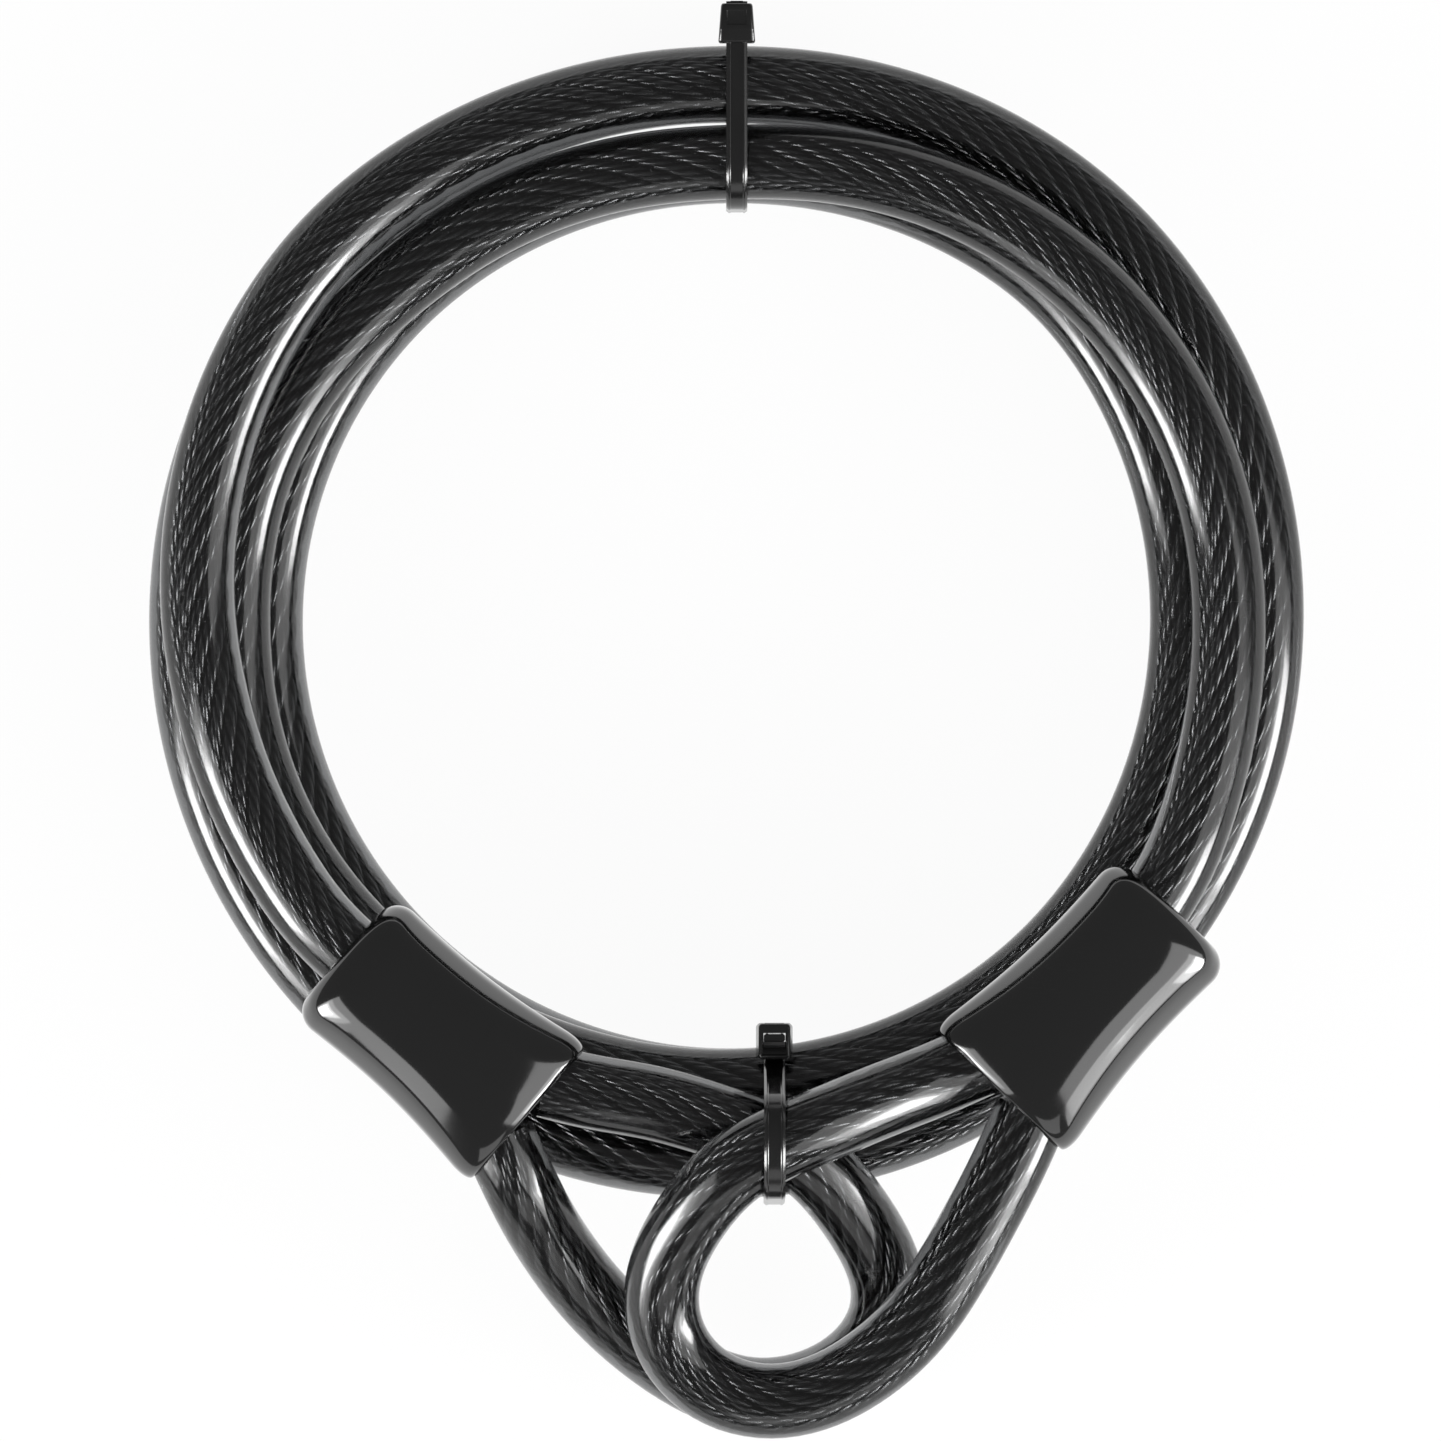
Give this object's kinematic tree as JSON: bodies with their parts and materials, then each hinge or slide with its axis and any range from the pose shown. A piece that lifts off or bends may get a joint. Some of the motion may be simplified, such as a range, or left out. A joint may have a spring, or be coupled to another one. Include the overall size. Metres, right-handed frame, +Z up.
{
  "type": "looped security cable",
  "caption": "Coiled steel security cable in a smoked vinyl jacket, with a looped eye under a moulded cover at each end, held by nylon ties.",
  "frame": {"origin": "centre of the bounding box, on the plane that the coil rests on", "axes": "+X to the right across the coil, +Y from the eyes towards the top tie, +Z up out of the lying coil"},
  "size_m": [0.1848, 0.2292, 0.0526],
  "materials": {
    "jacket_vinyl": "smoked translucent vinyl, glossy, the rope shows faintly inside",
    "rope_steel": "galvanised stranded wire, seen through the jacket",
    "ferrule_aluminium": "satin, with crimping dents",
    "cover_gloss": "high gloss black moulding",
    "tie_nylon": "black nylon, soft sheen"
  },
  "bodies": {
    "root": {"coil_jacket": "jacket_vinyl", "left_eye_jacket": "jacket_vinyl", "right_eye_jacket": "jacket_vinyl", "wire_rope": "rope_steel", "left_ferrule": "ferrule_aluminium", "right_ferrule": "ferrule_aluminium", "left_cover": "cover_gloss", "right_cover": "cover_gloss", "top_tie": "tie_nylon", "bottom_tie": "tie_nylon"},
    "top_pawl": {"top_tie_pawl": "tie_nylon"},
    "bottom_pawl": {"bottom_tie_pawl": "tie_nylon"}
  },
  "joints": [
    {"name": "top_pawl_hinge", "type": "hinge", "parent": "root", "child": "top_pawl", "pos_m": [0.00185, 0.1095, 0.02701], "axis": [-1, 0, 0], "range_deg": [0, 12], "stiffness_Nm_per_rad": 0.001},
    {"name": "bottom_pawl_hinge", "type": "hinge", "parent": "root", "child": "bottom_pawl", "pos_m": [0.00785, -0.05213, 0.0275], "axis": [1, 0, 0], "range_deg": [0, 12], "stiffness_Nm_per_rad": 0.001}
  ]
}
